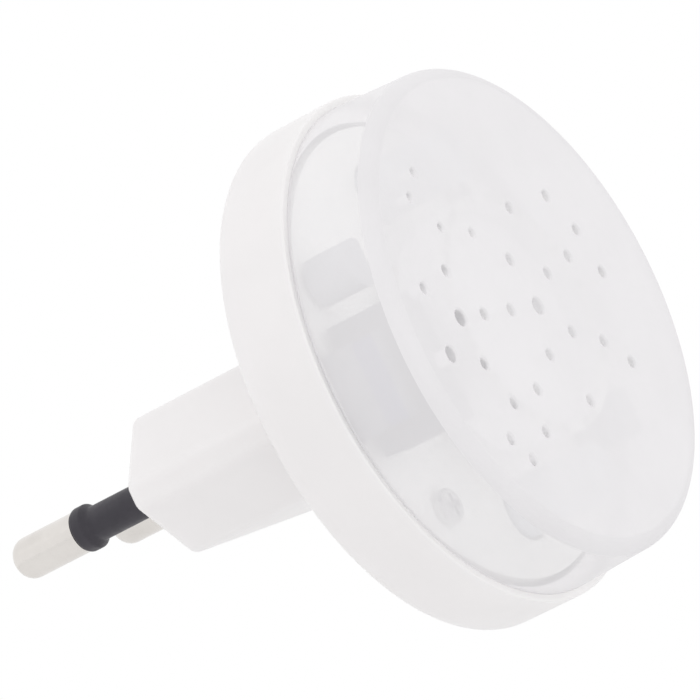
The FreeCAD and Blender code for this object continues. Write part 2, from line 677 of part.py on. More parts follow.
def standing_parts():
    """Transistors, small capacitor and lamp on the front of the board."""
    bodies = []
    legs = []
    base = BOARD_FRONT + TRANSISTOR_STAND
    for x, y in TRANSISTOR_PLACES:
        body = disc(TRANSISTOR_RADIUS, base, base + TRANSISTOR_HEIGHT, x, y)
        flat_x = x + TRANSISTOR_FLAT + TRANSISTOR_RADIUS
        side = 2 * TRANSISTOR_RADIUS
        bodies.append(body.cut(brick(flat_x, y, base, side, side, TRANSISTOR_HEIGHT)))
    legs = leads(transistor_leads(), BOARD_BACK - LEAD_TAIL, base)
    save("driver_transistors", *bodies)
    save("driver_transistor_legs", *legs)
    base = BOARD_FRONT + PART_STAND
    body = disc(RADIAL_RADIUS, base, base + RADIAL_HEIGHT, RADIAL_X, RADIAL_Y)
    body = round_ring_at(body, base + RADIAL_HEIGHT, 0.4)
    save("timing_capacitor", body)
    save("timing_capacitor_leads", *leads(RADIAL_LEADS, BOARD_BACK - LEAD_TAIL, base))
    base = BOARD_FRONT + LED_STAND
    straight = LED_HEIGHT - LED_RADIUS
    lens = joined([
        disc(LED_RADIUS + LED_FLANGE, base, base + LED_FLANGE, LED_X, LED_Y),
        disc(LED_RADIUS, base, base + straight, LED_X, LED_Y),
        Part.makeSphere(LED_RADIUS, V(LED_X, LED_Y, base + straight)),
    ])
    save("lamp_lens", lens)
    save("lamp_legs", *leads(LED_LEADS, BOARD_BACK - LEAD_TAIL, base))


def round_ring_at(shape, station, size):
    """Rounds every flat edge loop at a station."""
    chosen = []
    for edge in shape.Edges:
        box = edge.BoundBox
        if abs(box.ZMin - station) < 1e-4 and abs(box.ZMax - station) < 1e-4:
            chosen.append(edge)
    return shape.makeFillet(size, chosen)


def gull_legs(x, y, width, pitch, count, level):
    """Bent legs down both long sides of a flat package."""
    legs = []
    first = y - pitch * (count - 1) / 2
    for step in range(count):
        leg_y = first + step * pitch
        for side in (-1, 1):
            edge = x + side * width / 2
            foot_x = edge + side * (LEG_REACH - LEG_REACH / 4)
            foot = brick(foot_x, leg_y, BOARD_FRONT, LEG_REACH / 2, LEG_WIDTH, LEG_THICKNESS)
            arm_x = edge + side * LEG_REACH / 4
            arm = brick(arm_x, leg_y, level, LEG_REACH / 2, LEG_WIDTH, LEG_THICKNESS)
            riser_x = edge + side * (LEG_REACH / 2)
            rise = level + LEG_THICKNESS - BOARD_FRONT
            riser = brick(riser_x, leg_y, BOARD_FRONT, LEG_THICKNESS, LEG_WIDTH, rise)
            legs.append(joined([foot, arm, riser]))
    return legs


def flat_parts():
    """Control chip, rectifier, chip resistors and chip capacitors."""
    base = BOARD_FRONT + CHIP_STAND
    chip = brick(CHIP_X, CHIP_Y, base, CHIP_WIDTH, CHIP_LENGTH, CHIP_THICKNESS)
    save("control_chip", chip.makeChamfer(0.15, chip.Edges))
    level = base + CHIP_THICKNESS / 2
    chip_legs = gull_legs(CHIP_X, CHIP_Y, CHIP_WIDTH, CHIP_PITCH, CHIP_LEGS_PER_SIDE, level)
    save("control_chip_legs", *chip_legs)
    bridge = brick(RECTIFIER_X, RECTIFIER_Y, base, RECTIFIER_WIDTH, RECTIFIER_LENGTH, RECTIFIER_THICKNESS)
    save("bridge_rectifier", bridge.makeChamfer(0.15, bridge.Edges))
    level = base + RECTIFIER_THICKNESS / 2
    bridge_legs = gull_legs(RECTIFIER_X, RECTIFIER_Y, RECTIFIER_WIDTH, RECTIFIER_PITCH, 2, level)
    save("bridge_rectifier_legs", *bridge_legs)
    groups = (
        ("chip_resistors", CHIP_RESISTOR_PLACES, CHIP_PART_THICKNESS),
        ("chip_capacitors", CHIP_CAPACITOR_PLACES, CHIP_CAPACITOR_THICKNESS),
    )
    ends = []
    for name, places, thickness in groups:
        middle = CHIP_PART_LENGTH - 2 * CHIP_END_LENGTH
        bodies = [brick(x, y, BOARD_FRONT, middle, CHIP_PART_WIDTH, thickness) for x, y in places]
        save(name, *bodies)
        for x, y in places:
            for side in (-1, 1):
                end_x = x + side * (CHIP_PART_LENGTH - CHIP_END_LENGTH) / 2
                ends.append(brick(end_x, y, BOARD_FRONT, CHIP_END_LENGTH, CHIP_PART_WIDTH, thickness))
    save("chip_part_terminals", *ends)


def mains_wire(side):
    """Insulated wire from a pin's tail to the back of the board."""
    points = [
        pin_point(side, TAIL_END),
        pin_point(side, TAIL_END + 3.5),
        V(side * MAINS_WIRE_X, MAINS_WIRE_Y, (TAIL_END + BOARD_BACK) / 2 + 2),
        V(side * MAINS_WIRE_X, MAINS_WIRE_Y, BOARD_BACK),
    ]
    return wire_along(points, MAINS_WIRE_DIAMETER)


def solder_joints():
    """Every soldered joint of the board."""
    joints = solder_front(FILM_LEADS + CAN_LEADS + FUSE_LEADS + VARISTOR_LEADS)
    joints += solder_back(LED_LEADS + RADIAL_LEADS + bobbin_pins() + transistor_leads())
    joints += solder_back(SOUND_LEADS, SOUND_WIRE_DIAMETER)
    return joints


def build():
    """Makes every node."""
    for side, name in ((-1, "left"), (1, "right")):
        save("plug_pin_" + name, on_pin(plug_pin(), side))
        save("pin_sleeve_" + name, on_pin(pin_sleeve(), side))
        save("mains_wire_" + name, mains_wire(side))
    save("pin_carrier", pin_carrier())
    save("rear_housing", rear_housing())
    save("front_cap", front_cap())
    seat = CUP_BACK + SCREW_RECESS_DEPTH
    case_screws = [
        screw(x, y, seat, SCREW_DIAMETER, SCREW_LENGTH, SCREW_HEAD_DIAMETER, SCREW_HEAD_HEIGHT, 1)
        for x, y in screw_places()
    ]
    save("case_screws", *case_screws)
    board_screws = [
        screw(x, y, BOARD_FRONT, BOARD_SCREW_DIAMETER, BOARD_SCREW_LENGTH, BOARD_SCREW_HEAD,
              BOARD_SCREW_HEAD_HEIGHT, -1)
        for x, y in rest_places()[::2]
    ]
    save("board_screws", *board_screws)
    save("circuit_board", circuit_board())
    transformer()
    transducer()
    capacitors()
    lying_parts()
    standing_parts()
    flat_parts()
    save("solder_joints", *solder_joints())


build()
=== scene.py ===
"""Plug-in ultrasonic pest repeller: a two-pin mains plug on a round two-shell case.

Every new piece is drawn standing on the plug's end face, in millimetres, with z running forward
out of the wall, and is then laid down: the pins point along +Y, the pierced face looks along -Y
and +Z is up.  What lies inside the case keeps its CAD shape and gets its finish here.
"""
import json
import logging
import math
from collections.abc import Sequence
from dataclasses import dataclass, field, replace
from enum import Enum

import bmesh
import bpy
from mathutils import Matrix, Vector


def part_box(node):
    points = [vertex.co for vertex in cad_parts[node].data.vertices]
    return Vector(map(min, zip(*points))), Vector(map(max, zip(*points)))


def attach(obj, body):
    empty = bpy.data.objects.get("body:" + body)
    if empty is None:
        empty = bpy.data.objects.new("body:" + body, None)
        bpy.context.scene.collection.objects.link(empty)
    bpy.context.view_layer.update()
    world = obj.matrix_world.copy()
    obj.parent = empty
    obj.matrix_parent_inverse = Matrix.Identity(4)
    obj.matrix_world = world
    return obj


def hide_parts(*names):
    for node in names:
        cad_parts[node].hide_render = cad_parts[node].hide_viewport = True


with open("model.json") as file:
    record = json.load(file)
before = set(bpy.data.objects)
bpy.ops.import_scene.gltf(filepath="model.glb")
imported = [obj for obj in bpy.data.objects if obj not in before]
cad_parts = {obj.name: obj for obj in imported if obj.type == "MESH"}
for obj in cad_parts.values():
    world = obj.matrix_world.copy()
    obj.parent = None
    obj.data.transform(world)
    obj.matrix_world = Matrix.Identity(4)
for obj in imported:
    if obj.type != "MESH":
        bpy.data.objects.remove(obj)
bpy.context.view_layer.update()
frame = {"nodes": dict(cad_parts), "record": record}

LOG = logging.getLogger("pest_repeller")

MM = 0.001
TURNS = 160                  # facets round a large lathe-turned piece
SMALL_TURNS = 48             # and round a small one
ARC_STEPS = 8                # facets in each rounded corner
WELD = 1e-4                  # millimetres, below which two points are one
PAST = 0.5                   # millimetres that a cut or a joined solid runs past a face
LIP_FILL = 0.10              # millimetres that the cap's radius grows to meet the cup's lip
SMOOTH_BELOW = math.radians(32)
LAID = Matrix.Rotation(math.radians(90), 4, "X") @ Matrix.Scale(MM, 4)
Colour = tuple[float, float, float]
Corner = tuple[float, ...]


# ---- joining and shaping ----------------------------------------------------------------
class Join(Enum):
    """How one solid acts on another."""

    ADD = "UNION"
    CUT = "DIFFERENCE"


class Side(Enum):
    """The two pins, seen from the front of the case."""

    LEFT = -1
    RIGHT = 1


def rounded_outline(corners: Sequence[Corner]) -> list[Vector]:
    """Outline whose corners are rounded by arcs.

    Args:
        corners: (radius, station) or (radius, station, rounding) of each corner, in order.

    Returns:
        The points of the outline, with ARC_STEPS facets at each rounded corner.
    """
    points = []
    for index, corner in enumerate(corners):
        here = Vector(corner[:2])
        if len(corner) == 2:
            points.append(here)
            continue
        before = (Vector(corners[index - 1][:2]) - here).normalized()
        after = (Vector(corners[index + 1][:2]) - here).normalized()
        half = before.angle(after) / 2
        centre = here + (before + after).normalized() * (corner[2] / math.sin(half))
        setback = corner[2] / math.tan(half)
        start = here + before * setback - centre
        end = here + after * setback - centre
        sweep = math.pi - 2 * half
        for step in range(ARC_STEPS + 1):
            share = step / ARC_STEPS
            weights = math.sin((1 - share) * sweep), math.sin(share * sweep)
            points.append(centre + (start * weights[0] + end * weights[1]) / math.sin(sweep))
    return points


def weld(mesh: bmesh.types.BMesh) -> None:
    """Merges doubled points and turns the faces outwards."""
    bmesh.ops.remove_doubles(mesh, verts=mesh.verts[:], dist=WELD)
    bmesh.ops.recalc_face_normals(mesh, faces=mesh.faces[:])


def lathe(corners: Sequence[Corner], turns: int = SMALL_TURNS, ring: bool = False) -> bmesh.types.BMesh:
    """Solid turned about z.

    Args:
        corners: its outline, as rounded_outline takes it.
        turns: facets round it.
        ring: whether the outline closes on itself, as on a tube, and not on the axis.

    Returns:
        The closed mesh.
    """
    mesh = bmesh.new()
    verts = [mesh.verts.new((point.x, 0, point.y)) for point in rounded_outline(corners)]
    edges = [mesh.edges.new(ends) for ends in zip(verts, verts[1:])]
    if ring:
        edges.append(mesh.edges.new((verts[-1], verts[0])))
    bmesh.ops.spin(mesh, geom=verts + edges, cent=(0, 0, 0), axis=(0, 0, 1), angle=math.tau,
                   steps=turns, use_merge=True, use_duplicate=False)
    weld(mesh)
    return mesh


def bar(radius: float, low: float, high: float, turns: int = SMALL_TURNS) -> bmesh.types.BMesh:
    """Plain round bar along z between two stations."""
    return lathe([(0, low), (radius, low), (radius, high), (0, high)], turns)


def brick(width: float, height: float, low: float, high: float) -> bmesh.types.BMesh:
    """Box centred on the axis between two stations."""
    mesh = bmesh.new()
    size = Matrix.Diagonal((width, height, high - low, 1))
    bmesh.ops.create_cube(mesh, size=1, matrix=Matrix.Translation((0, 0, (low + high) / 2)) @ size)
    return mesh


def moved(mesh: bmesh.types.BMesh, place: Matrix) -> bmesh.types.BMesh:
    """The same mesh after a move."""
    mesh.transform(place)
    return mesh


def at(x: float, y: float, z: float = 0.0) -> Matrix:
    """A shift."""
    return Matrix.Translation((x, y, z))


def gathered(meshes: Sequence[bmesh.types.BMesh]) -> bmesh.types.BMesh:
    """One mesh of several that don't touch."""
    whole = bmesh.new()
    for mesh in meshes:
        loose = bpy.data.meshes.new("loose")
        mesh.to_mesh(loose)
        mesh.free()
        whole.from_mesh(loose)
        bpy.data.meshes.remove(loose)
    return whole


def as_piece(name: str, mesh: bmesh.types.BMesh) -> bpy.types.Object:
    """Puts a mesh into the scene as an object of its own."""
    data = bpy.data.meshes.new(name)
    mesh.to_mesh(data)
    mesh.free()
    piece = bpy.data.objects.new(name, data)
    bpy.context.scene.collection.objects.link(piece)
    return piece


def combine(piece: bpy.types.Object, tool_mesh: bmesh.types.BMesh, how: Join) -> None:
    """Adds a solid to a piece or cuts it away.

    Args:
        piece: the piece, whose mesh is replaced.
        tool_mesh: the solid that is added or cut away, which is used up.
        how: which of the two.
    """
    tool = as_piece("tool", tool_mesh)
    modifier = piece.modifiers.new("join", "BOOLEAN")
    modifier.operation = how.value
    modifier.solver = "EXACT"
    modifier.object = tool
    graph = bpy.context.evaluated_depsgraph_get()
    before = piece.data
    after = bpy.data.meshes.new_from_object(piece.evaluated_get(graph))
    piece.modifiers.clear()
    piece.data = after
    after.name = piece.name
    bpy.data.meshes.remove(before)
    bpy.data.meshes.remove(tool.data)


def finish_piece(piece: bpy.types.Object, material: bpy.types.Material, slot: str, *nodes: str) -> None:
    """Lays a drawn piece down, smooths and dresses it and puts it in place of its CAD nodes.

    Args:
        piece: the piece, drawn standing in millimetres.
        material: its finish.
        slot: the record's slot for that finish; not used.
        nodes: the CAD nodes that it stands for.
    """
    mesh = bmesh.new()
    mesh.from_mesh(piece.data)
    bmesh.ops.remove_doubles(mesh, verts=mesh.verts[:], dist=WELD)
    bmesh.ops.dissolve_degenerate(mesh, edges=mesh.edges[:], dist=WELD)
    mesh.transform(LAID)
    mesh.to_mesh(piece.data)
    mesh.free()
    piece.data.shade_smooth()
    piece.data.set_sharp_from_angle(angle=SMOOTH_BELOW)
    even = piece.modifiers.new("even shading", "WEIGHTED_NORMAL")
    even.keep_sharp = True
    piece.data.materials.clear()
    piece.data.materials.append(material)
    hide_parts(*nodes)
    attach(piece, "root")
    LOG.info("%s stands for %s, %d faces", piece.name, ", ".join(nodes), len(piece.data.polygons))


def half_width(node: str) -> float:
    """Half of a CAD node's width across, in millimetres."""
    low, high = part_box(node)
    return (high.x - low.x) / 2 / MM


def front_of(node: str) -> float:
    """Station of a CAD node's foremost point, in millimetres."""
    return -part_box(node)[0].y / MM


# ---- finishes ---------------------------------------------------------------------------
class Weave(Enum):
    """What runs through a finish besides its fine grain."""

    PLAIN = "plain"
    AROUND = "rings round the plug's direction"
    WOUND = "turns side by side along the plug's direction"
    TRACKS = "raised tracks under a lacquer"


NOISE_LOW, NOISE_HIGH = 0.35, 0.65       # between which most of a noise lies
BRUSHED = (0.02, 1, 0.02)                # stretch of a noise that leaves rings round the plug


class Shader:
    """Node tree of one material while it is being built."""

    def __init__(self, name: str) -> None:
        """Starts a material with only its output and its principled shader."""
        self.material = bpy.data.materials.new(name)
        self.material.use_nodes = True
        self.tree = self.material.node_tree
        self.tree.nodes.clear()
        self.surface = self.add("ShaderNodeBsdfPrincipled")
        output = self.add("ShaderNodeOutputMaterial")
        self.join(self.surface.outputs["BSDF"], output.inputs["Surface"])
        self.place = self.add("ShaderNodeTexCoord").outputs["Object"]

    def add(self, kind: str, **values: object) -> bpy.types.Node:
        """Adds a node and sets its sockets, named in lower case with underscores."""
        node = self.tree.nodes.new(kind)
        for name, value in values.items():
            node.inputs[name.replace("_", " ").title()].default_value = value
        return node

    def join(self, source: bpy.types.NodeSocket, target: bpy.types.NodeSocket) -> None:
        """Links two sockets."""
        self.tree.links.new(source, target)

    def noise(self, size: float, detail: float = 2.0, stretch: Colour = (1, 1, 1)) -> bpy.types.NodeSocket:
        """Noise in the object's own space.

        Args:
            size: of its blots, in metres.
            detail: how many finer layers it has.
            stretch: how much finer it is along x, y and z.

        Returns:
            The socket of its value.
        """
        turned = self.add("ShaderNodeMapping", scale=tuple(stretch))
        self.join(self.place, turned.inputs["Vector"])
        node = self.add("ShaderNodeTexNoise", scale=1 / size, detail=detail)
        self.join(turned.outputs["Vector"], node.inputs["Vector"])
        return node.outputs["Fac"]

    def spread(self, source: bpy.types.NodeSocket, low: float, high: float) -> bpy.types.NodeSocket:
        """Stretches the middle of a noise to a range."""
        node = self.add("ShaderNodeMapRange", from_min=NOISE_LOW, from_max=NOISE_HIGH, to_min=low,
                        to_max=high)
        self.join(source, node.inputs["Value"])
        return node.outputs["Result"]

    def blend(self, share: bpy.types.NodeSocket, first: Colour, second: Colour) -> bpy.types.NodeSocket:
        """Colour between two colours."""
        node = self.tree.nodes.new("ShaderNodeMix")
        node.data_type = "RGBA"
        colours = [socket for socket in node.inputs if socket.type == "RGBA"]
        colours[0].default_value = (*first, 1)
        colours[1].default_value = (*second, 1)
        self.join(share, node.inputs[0])
        return [socket for socket in node.outputs if socket.type == "RGBA"][0]

    def relief(self, height: bpy.types.NodeSocket, depth: float, strength: float) -> None:
        """Bumps of a depth in metres on the surface."""
        node = self.add("ShaderNodeBump", strength=strength, distance=depth)
        self.join(height, node.inputs["Height"])
        self.join(node.outputs["Normal"], self.surface.inputs["Normal"])


@dataclass(frozen=True)
class Finish:
    """Look of one material: its two colours, gloss, grain and what light does inside it."""

    colour: Colour
    shade: Colour                    # the other colour of its mottling
    gloss: tuple[float, float] = (0.35, 0.5)
    mottle: float = 0.006            # size of its blots, in metres
    grain: float = 0.0004            # size of its fine bumps, in metres
    depth: float = 0.00001           # of those bumps, in metres
    strength: float = 0.4            # of those bumps
    weave: Weave = Weave.PLAIN
    metallic: float = 0.0
    scatter: float = 0.0             # share of light that wanders under the surface
    scatter_depth: float = 0.001
    clear: float = 0.0               # share of light that passes
    index: float = 1.5
    coat: float = 0.0
    cover: float = 1.0               # how much the surface hides of what lies behind it

    def material(self, name: str) -> bpy.types.Material:
        """Builds the material.

        Args:
            name: of the material.

        Returns:
            The finished material.
        """
        shader = Shader(name)
        surface = shader.surface
        surface.inputs["Metallic"].default_value = self.metallic
        surface.inputs["IOR"].default_value = self.index
        surface.inputs["Transmission Weight"].default_value = self.clear
        surface.inputs["Subsurface Weight"].default_value = self.scatter
        surface.inputs["Subsurface Radius"].default_value = (1.0, 1.0, 1.0)
        surface.inputs["Subsurface Scale"].default_value = self.scatter_depth
        surface.inputs["Coat Weight"].default_value = self.coat
        surface.inputs["Alpha"].default_value = self.cover
        mottle = shader.spread(shader.noise(self.mottle, 4), 0, 1)
        height = shader.noise(self.grain, 3)
        if self.weave is Weave.AROUND:
            height = shader.noise(self.grain, 2, BRUSHED)
        elif self.weave is Weave.WOUND:
            turns = shader.add("ShaderNodeTexWave", scale=1 / self.grain, distortion=0.6)
            turns.bands_direction = "Y"
            shader.join(shader.place, turns.inputs["Vector"])
            height = turns.outputs["Fac"]
        elif self.weave is Weave.TRACKS:
            tracks = shader.add("ShaderNodeTexVoronoi", scale=1 / self.grain)
            tracks.distance = "MANHATTAN"
            tracks.feature = "F1"
            shader.join(shader.place, tracks.inputs["Vector"])
            height = shader.spread(tracks.outputs["Distance"], 0, 1)
        shader.join(shader.blend(mottle, self.colour, self.shade), surface.inputs["Base Color"])
        uneven = shader.noise(self.mottle / 3, 5)
        shader.join(shader.spread(uneven, *self.gloss), surface.inputs["Roughness"])
        shader.relief(height, self.depth, self.strength)
        return shader.material


def grey(level: float, tint: Colour = (1, 1, 1)) -> Colour:
    """Grey of a level, with a tint."""
    return tuple(level * part for part in tint)


COOL = (1.0, 0.982, 1.0)
WARM = (1.0, 0.978, 0.98)
FROSTED = Finish(grey(0.84, COOL), grey(0.82, COOL), (0.34, 0.44), 0.008, 0.0003, 0.000006, 0.3,
                 index=1.46, cover=0.93)

FINISHES = {
    "case_white": Finish(grey(0.85, WARM), grey(0.83, WARM), (0.30, 0.40), 0.009, 0.00035, 0.000004,
                         0.25, scatter=0.35, scatter_depth=0.0012),
    "cap_frosted": FROSTED,
    "cap_side": replace(FROSTED, colour=grey(0.90, COOL), shade=grey(0.88, COOL), cover=0.78),
    "cap_edge": replace(FROSTED, colour=grey(0.80, COOL), shade=grey(0.78, COOL), cover=1.0),
    # The screw posts are moulded in the same frosted plastic; here they are set darker and opaque as
    # painted shade, so they read as dark rings through the face.
    "cap_post": replace(FROSTED, colour=(0.62, 0.65, 0.68), shade=(0.58, 0.61, 0.64), cover=1.0),
    "cap_inside": replace(FROSTED, cover=0.0),
    "nickel": Finish((0.78, 0.75, 0.72), (0.72, 0.69, 0.66), (0.16, 0.26), 0.004, 0.00012,
                     0.0000015, 0.25, Weave.AROUND, metallic=1.0),
    "sleeve_black": Finish((0.024, 0.021, 0.030), (0.030, 0.026, 0.036), (0.40, 0.52), 0.002,
                           0.0002, 0.000004, 0.3),
    "carrier_ivory": Finish((0.78, 0.74, 0.62), (0.72, 0.68, 0.56), (0.4, 0.5)),
    "wire_brown": Finish((0.17, 0.07, 0.03), (0.14, 0.06, 0.03), (0.35, 0.45), 0.003),
    "wire_blue": Finish((0.05, 0.14, 0.42), (0.04, 0.12, 0.36), (0.35, 0.45), 0.003),
    "screw_steel": Finish((0.66, 0.66, 0.64), (0.56, 0.56, 0.56), (0.24, 0.36), 0.0015, 0.00015,
                          0.000004, 0.4, metallic=1.0),
    "board_white": Finish((0.80, 0.80, 0.77), (0.74, 0.75, 0.72), (0.28, 0.4), 0.004, 0.0018,
                          0.00004, 0.6, Weave.TRACKS, coat=0.3),
    # Ferrite and coil tape are set darker than the transformer's own colours: partly its own dark colour,
    # partly painted shade that deepens the dark patch it makes through the cap's side.
    "ferrite": Finish((0.013, 0.013, 0.030), (0.020, 0.019, 0.040), (0.6, 0.75), 0.0015, 0.0002,
                      0.00001, 0.6),
    "bobbin_grey": Finish((0.12, 0.125, 0.15), (0.10, 0.105, 0.13), (0.4, 0.55), 0.003),
    "coil_tape": Finish((0.016, 0.018, 0.11), (0.022, 0.025, 0.13), (0.4, 0.55), 0.002, 0.0009,
                        0.00003, 0.6, Weave.WOUND),
    "tinned_copper": Finish((0.74, 0.73, 0.70), (0.64, 0.62, 0.58), (0.22, 0.38), 0.0012,
                            0.0001, 0.000004, 0.4, metallic=1.0),
    "horn_pale": Finish((0.84, 0.84, 0.84), (0.79, 0.79, 0.80), (0.4, 0.55), 0.004),
    "foam_white": Finish((0.78, 0.78, 0.75), (0.70, 0.70, 0.67), (0.8, 0.95), 0.001, 0.00025,
                         0.00006, 0.9),
    "diaphragm_foil": Finish((0.86, 0.86, 0.86), (0.80, 0.80, 0.81), (0.3, 0.45), 0.003, 0.0002,
                             0.000004, 0.4),
    "ceramic_white": Finish((0.74, 0.72, 0.67), (0.68, 0.65, 0.60), (0.4, 0.6), 0.002),
    "wire_white": Finish((0.80, 0.80, 0.80), (0.74, 0.74, 0.74), (0.35, 0.5), 0.003),
    "film_box": Finish((0.72, 0.70, 0.60), (0.66, 0.64, 0.55), (0.35, 0.5), 0.003),
    "can_aluminium": Finish((0.80, 0.80, 0.80), (0.70, 0.70, 0.71), (0.24, 0.36), 0.002,
                            0.00015, 0.000003, 0.4, Weave.AROUND, metallic=1.0),
    "seal_rubber": Finish((0.035, 0.035, 0.035), (0.05, 0.05, 0.05), (0.65, 0.8), 0.001),
    "can_sleeve": Finish((0.035, 0.05, 0.13), (0.045, 0.06, 0.15), (0.2, 0.32), 0.003,
                         coat=0.2),
    "resistor_coat": Finish((0.34, 0.52, 0.45), (0.28, 0.45, 0.39), (0.35, 0.5), 0.0012),
    "varistor_coat": Finish((0.05, 0.16, 0.38), (0.04, 0.13, 0.32), (0.15, 0.28), 0.0015,
                            coat=0.4),
    "mould_black": Finish((0.22, 0.23, 0.25), (0.24, 0.25, 0.27), (0.5, 0.65), 0.001,
                          0.00012, 0.00001, 0.6),
    "timing_sleeve": Finish((0.68, 0.68, 0.72), (0.60, 0.60, 0.64), (0.25, 0.38), 0.003),
    "lamp_clear": Finish((0.94, 0.95, 0.97), (0.90, 0.91, 0.93), (0.04, 0.1), 0.003, 0.0005,
                         0.000002, 0.2, clear=0.9, index=1.52),
    "chip_black": Finish((0.035, 0.035, 0.042), (0.05, 0.05, 0.055), (0.3, 0.45), 0.0008),
    "chip_tan": Finish((0.48, 0.33, 0.20), (0.42, 0.28, 0.17), (0.35, 0.5), 0.0008),
    "solder": Finish((0.78, 0.78, 0.76), (0.66, 0.66, 0.65), (0.16, 0.34), 0.0008, 0.00015,
                     0.00001, 0.5, metallic=1.0),
}


@dataclass
class Paintwork:
    """Materials made once from the finishes and shared by all pieces."""

    made: dict[str, bpy.types.Material] = field(default_factory=dict)

    def of(self, slot: str) -> bpy.types.Material:
        """Material of a slot of the record."""
        if slot not in self.made:
            self.made[slot] = FINISHES[slot].material(slot + "_finish")
        return self.made[slot]

    def dress_cad_nodes(self) -> None:
        """Gives every CAD node that stays its finish."""
        for part in frame["record"]["subparts"]:
            node = frame["nodes"][part["node"]]
            node.data.materials.clear()
            node.data.materials.append(self.of(part["material_slot"]))
            LOG.info("%s is dressed in %s", part["node"], part["material_slot"])


# ---- the case ---------------------------------------------------------------------------
@dataclass
class Fastening:
    """Sizes that both shells share round the case screws, in millimetres."""

    offset: float = 15.7             # of each screw from the axis
    seat: float = 21.9               # under the head
    head_radius: float = 2.6
    head_height: float = 1.7
    shank_radius: float = 1.4
    length: float = 11.0
    pillar_top: float = 24.3
    fit: float = 0.1

    def places(self) -> list[tuple[float, float]]:
        """The two screws, above and below the axis."""
        return [(0.0, self.offset), (0.0, -self.offset)]


@dataclass
class RearHousing:
    """Round cup with the hollow eight-sided plug behind it, in one moulding."""

    fastening: Fastening
    cup_radius: float
    cup_front: float
    cup_back: float = 19.5
    cup_wall: float = 2.0
    cup_floor: float = 1.8
    back_round: float = 2.0
    lip: float = 0.7
    lip_height: float = 1.6
    edge_soft: float = 0.2           # rounding of the moulding's sharp edges
    rim_lift: float = 0.004          # of a rounded rim's end off the face that it meets
    block_width: float = 35.0
    block_height: float = 13.4
    block_slant: float = 5.6
    block_wall: float = 1.9
    block_end_wall: float = 2.0
    block_edge_round: float = 1.2
    block_end_round: float = 0.9
    pillar_radius: float = 4.1       # of the pillars that the case screws pass through
    rest_radius: float = 2.3         # of the four rests under the board
    rest_reach: float = 18.6
    rest_top: float = 25.0

    def cup(self) -> bmesh.types.BMesh:
        """The cup without its openings."""
        inside = self.cup_radius - self.cup_wall
        step = self.cup_radius - self.lip
        floor = self.cup_back + self.cup_floor
        seat = self.cup_front - self.lip_height
        return lathe([
            (0, self.cup_back),
            (self.cup_radius, self.cup_back, self.back_round),
            (self.cup_radius, self.cup_front, self.edge_soft),
            (step, self.cup_front),
            (step, seat),
            (inside, seat),
            (inside, floor, 2 * self.edge_soft),
            (0, floor),
        ], TURNS)

    def block(self, inset: float, low: float, high: float, edge: float, end: float) -> bmesh.types.BMesh:
        """Flat eight-sided bar of the plug.

        Args:
            inset: how far its sides are drawn in.
            low: station of its end face.
            high: station where it stops.
            edge: rounding of its long edges.
            end: rounding round its end face.

        Returns:
            The closed mesh.
        """
        across = self.block_width / 2 - inset
        up = self.block_height / 2 - inset
        slant = self.block_slant - inset * (2 - math.sqrt(2))
        mesh = bmesh.new()
        corner = [(across, up - slant), (across - slant, up)]
        upper = corner + [(-x, y) for x, y in reversed(corner)]
        ring = upper + [(-x, -y) for x, y in upper]
        face = mesh.faces.new([mesh.verts.new((x, y, low)) for x, y in ring])
        grown = bmesh.ops.extrude_face_region(mesh, geom=[face])["geom"]
        raised = [item for item in grown if isinstance(item, bmesh.types.BMVert)]
        bmesh.ops.translate(mesh, verts=raised, vec=(0, 0, high - low))
        bmesh.ops.recalc_face_normals(mesh, faces=mesh.faces[:])
        if edge > 0:
            long_edges = [e for e in mesh.edges if abs(e.verts[0].co.z - e.verts[1].co.z) > WELD]
            setback = edge * math.tan(math.radians(22.5))
            bmesh.ops.bevel(mesh, geom=long_edges, offset=setback, segments=5, profile=0.5,
                            affect="EDGES", material=-1)
        if end > 0:
            rim = [e for e in mesh.edges if all(abs(v.co.z - low) < WELD for v in e.verts)]
            bmesh.ops.bevel(mesh, geom=rim, offset=end, segments=6, profile=0.5,
                            affect="EDGES", material=-1)
        return mesh

    def build(self, material: bpy.types.Material, pins: "PlugPins") -> bpy.types.Object:
        """Builds and dresses the housing.

        Args:
            material: its finish.
            pins: the pins whose sleeves pass through the plug's end wall.

        Returns:
            The finished piece.
        """
        floor = self.cup_back + self.cup_floor
        fix = self.fastening
        piece = as_piece("white_rear_housing", self.cup())
        plug = self.block(0, 0, floor - PAST, self.block_edge_round, self.block_end_round)
        combine(piece, plug, Join.ADD)
        hollow = self.block(self.block_wall, self.block_end_wall, floor + 2 * PAST, 0, 0)
        combine(piece, hollow, Join.CUT)
        pillars = []
        for x, y in fix.places():
            pillar = bar(self.pillar_radius, floor - PAST, fix.pillar_top)
            pillars.append(moved(pillar, at(x, y)))
        reach = self.rest_reach / math.sqrt(2)
        for x, y in ((reach, reach), (-reach, reach), (-reach, -reach), (reach, -reach)):
            pillars.append(moved(bar(self.rest_radius, floor - PAST, self.rest_top), at(x, y)))
        combine(piece, gathered(pillars), Join.ADD)
        cutters = []
        for x, y in fix.places():
            cutters.append(moved(self.recess_cutter(), at(x, y)))
        for side in Side:
            bore = bar(pins.bore(), -2 * PAST, self.block_end_wall + 2 * PAST)
            cutters.append(moved(bore, pins.lean(side)))
        combine(piece, gathered(cutters), Join.CUT)
        finish_piece(piece, material, "case_white", "rear_housing")
        return piece

    def recess_cutter(self) -> bmesh.types.BMesh:
        """What is cut away for one screw: its recess with a softened mouth, and its shank hole."""
        fix = self.fastening
        shank = fix.shank_radius + fix.fit
        wide = fix.head_radius + 2 * fix.fit
        outside = self.cup_back - PAST
        rim = self.cup_back - self.rim_lift
        return lathe([
            (0, outside),
            (wide + self.edge_soft, outside),
            (wide + self.edge_soft, rim),
            (wide, rim, self.edge_soft),
            (wide, fix.seat),
            (shank, fix.seat),
            (shank, fix.pillar_top + PAST),
            (0, fix.pillar_top + PAST),
        ])


